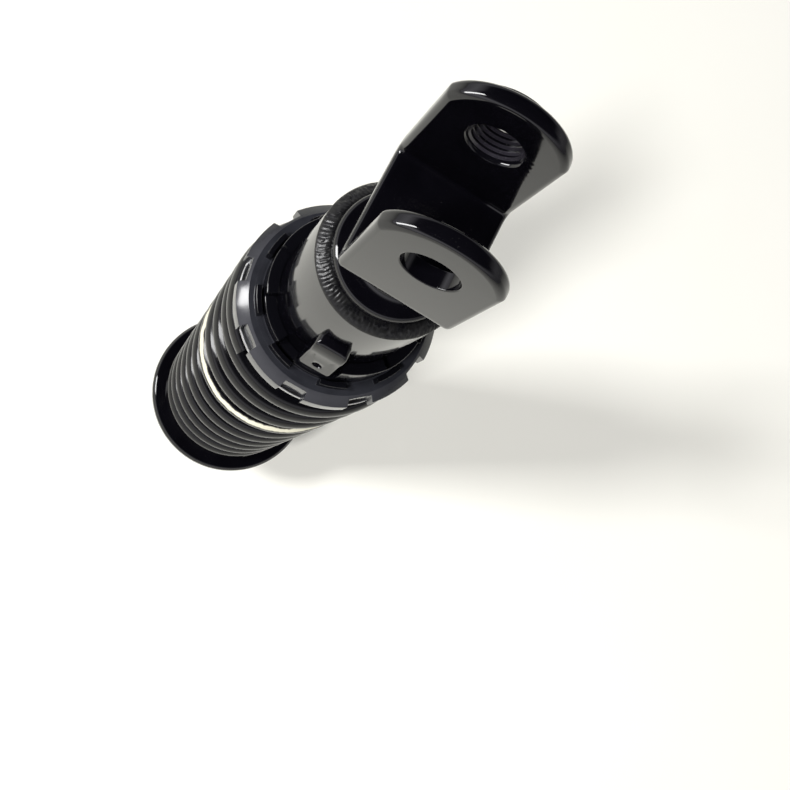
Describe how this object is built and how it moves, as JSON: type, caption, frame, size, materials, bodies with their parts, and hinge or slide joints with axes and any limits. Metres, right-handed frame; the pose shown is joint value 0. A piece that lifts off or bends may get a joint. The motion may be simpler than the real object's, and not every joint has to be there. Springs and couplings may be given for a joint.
{
  "type": "rear shock absorber",
  "caption": "Coil-over rear shock absorber with a bent-plate clevis, stop lugs, stepped cam preload ring, coil spring, wide lower seat and a rubber-bushed eye.",
  "frame": {"origin": "middle of the lower eye bore, on the damper axis", "axes": "+Z along the damper axis toward the clevis end, pivot bolts along Y, the plain-hole ear on the -Y side and the threaded ear on the +Y side, X across the clevis plate"},
  "size_m": [0.0676, 0.0676, 0.3496],
  "materials": {
    "gloss_black_paint": "gloss",
    "black_weld": "satin",
    "black_spring": "gloss",
    "black_cam": "semi-gloss",
    "plated_steel": "satin",
    "spring_steel": "polished",
    "hard_chrome": "polished",
    "turned_aluminium": "turned",
    "black_rubber": "matte",
    "ptfe_bronze": "satin",
    "bearing_band": "matte"
  },
  "bodies": {
    "damper": {"clevis_bracket": "gloss_black_paint", "end_cap": "gloss_black_paint", "cap_weld": "black_weld", "clevis_weld": "black_weld", "damper_tube": "gloss_black_paint", "stop_lugs": "gloss_black_paint", "rod_guide": "turned_aluminium", "guide_bushing": "ptfe_bronze", "guide_o_ring": "black_rubber", "oil_seal": "black_rubber", "dust_wiper": "black_rubber", "guide_snap_ring": "spring_steel"},
    "preload_base": {"spring_perch": "plated_steel"},
    "preload_cam": {"cam_ring": "black_cam"},
    "gas_piston": {"floating_piston": "turned_aluminium", "floating_piston_ring": "black_rubber"},
    "rod": {"piston_rod": "hard_chrome", "piston": "turned_aluminium", "piston_band": "bearing_band", "compression_shims": "spring_steel", "rebound_shims": "spring_steel", "piston_nut": "plated_steel", "top_out_bumper": "black_rubber", "bump_stop": "black_rubber", "bump_stop_cup": "plated_steel", "lower_seat": "gloss_black_paint", "seat_retainer": "plated_steel", "rod_lock_nut": "plated_steel", "lower_eye": "gloss_black_paint", "eye_shell": "plated_steel", "eye_rubber": "black_rubber", "spring": "black_spring"},
    "sleeve": {"eye_sleeve": "plated_steel"}
  },
  "joints": [
    {"name": "rod_slide", "type": "slide", "parent": "damper", "child": "rod", "axis": [0, 0, 1], "range_m": [0, 0.045], "deforming": ["spring"]},
    {"name": "preload_drop", "type": "slide", "parent": "damper", "child": "preload_base", "axis": [0, 0, 1], "range_m": [-0.0131, 0]},
    {"name": "preload_turn", "type": "hinge", "parent": "preload_base", "child": "preload_cam", "pos_m": [0, 0, 0.2205], "axis": [0, 0, 1], "range_deg": [0, 145]},
    {"name": "gas_piston_slide", "type": "slide", "parent": "damper", "child": "gas_piston", "axis": [0, 0, 1], "range_m": [0, 0.0064]},
    {"name": "eye_twist", "type": "hinge", "parent": "rod", "child": "sleeve", "pos_m": [0, 0, 0], "axis": [0, 1, 0], "range_deg": [-12, 12]}
  ],
  "couplings": [
    {"joint": "preload_drop", "follows": "preload_turn", "m_per_rad": -0.005131},
    {"joint": "gas_piston_slide", "follows": "rod_slide", "ratio": 0.14062}
  ]
}
